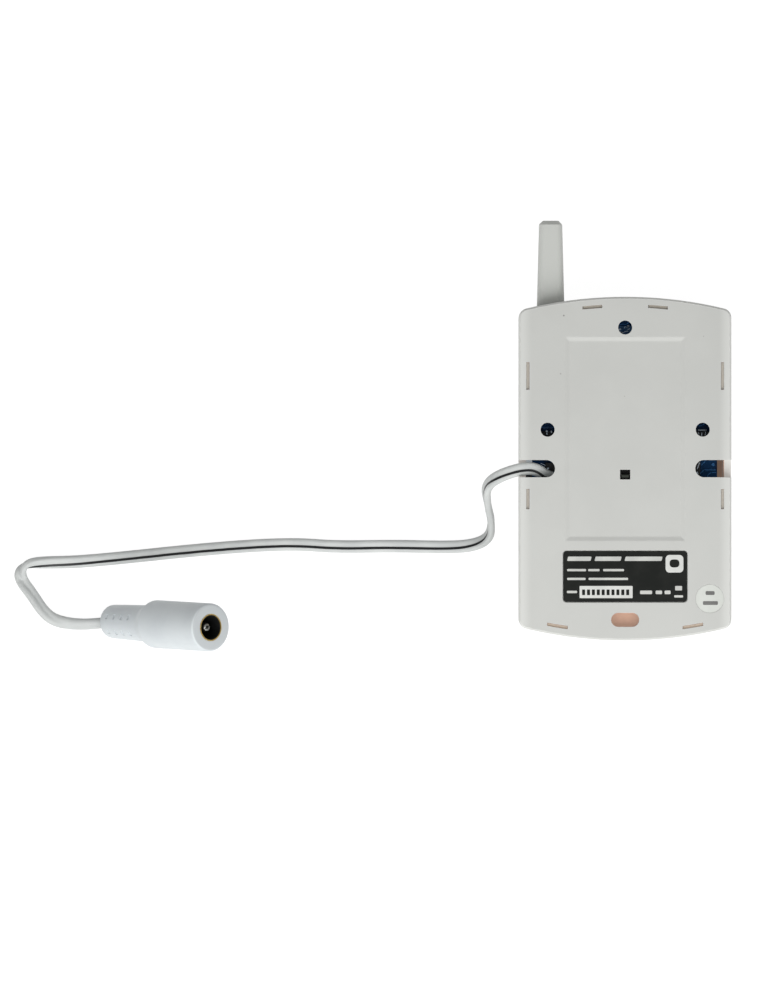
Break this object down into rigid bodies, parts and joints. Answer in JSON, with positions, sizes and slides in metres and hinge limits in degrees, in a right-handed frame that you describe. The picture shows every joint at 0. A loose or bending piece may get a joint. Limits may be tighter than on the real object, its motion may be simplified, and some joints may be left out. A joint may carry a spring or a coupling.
{
  "type": "glass break sensor",
  "caption": "Wall-mounted wireless glass break sensor: snap-fit case seen from its back, stub antenna, tamper switch, flat twin lead with round power socket.",
  "frame": {"origin": "on the surface that the sensor lies on, face down, below the middle of the case and its antenna", "axes": "+Z out of the mounting face, +Y along the antenna, +X to the right when the mounting face is seen with the antenna up"},
  "size_m": [0.1692, 0.1013, 0.0349],
  "materials": {
    "white_abs": "fine matt moulded",
    "steel": "zinc plated",
    "blue_board": "solder mask",
    "black_plastic": "matt moulded",
    "grey_plastic": "matt moulded",
    "aluminium_can": "satin",
    "black_rubber": "matt",
    "clear_lens": "clear moulded",
    "gold_pins": "plated",
    "solder": "bright solder",
    "white_nylon": "moulded",
    "black_label": "printed film",
    "pale_sticker": "printed film",
    "white_pvc": "soft moulded PVC",
    "brass": "plated rim",
    "silver_pin": "nickel plated",
    "white_cord": "soft PVC with a black stripe"
  },
  "bodies": {
    "housing": {"antenna_sleeve": "white_abs", "antenna_wire": "steel", "audio_amplifier": "black_plastic", "back_cover": "white_abs", "board_screws": "steel", "circuit_board": "blue_board", "crystal": "aluminium_can", "front_cover": "white_abs", "jack_body": "white_pvc", "jack_insert": "black_plastic", "jack_pin": "silver_pin", "jack_ring": "brass", "label_plate": "black_label", "lead_header": "white_nylon", "lead_plug": "white_nylon", "light_pipe": "clear_lens", "microcontroller": "black_plastic", "microphone_boot": "black_rubber", "microphone_capsule": "aluminium_can", "mode_header": "gold_pins", "mode_jumper": "black_plastic", "power_lead": "white_cord", "radio_module": "blue_board", "radio_resonator": "aluminium_can", "round_sticker": "pale_sticker", "smoothing_capacitors": "aluminium_can", "solder_joints": "solder", "status_led": "clear_lens", "tamper_switch": "black_plastic", "voltage_regulator": "black_plastic"},
    "tamper_button": {"tamper_plunger": "grey_plastic"}
  },
  "joints": [
    {"name": "tamper_press", "type": "slide", "parent": "housing", "child": "tamper_button", "axis": [0, 0, -1], "range_m": [0, 0.0008], "stiffness_N_per_m": 600, "springref_m": -0.0008}
  ]
}
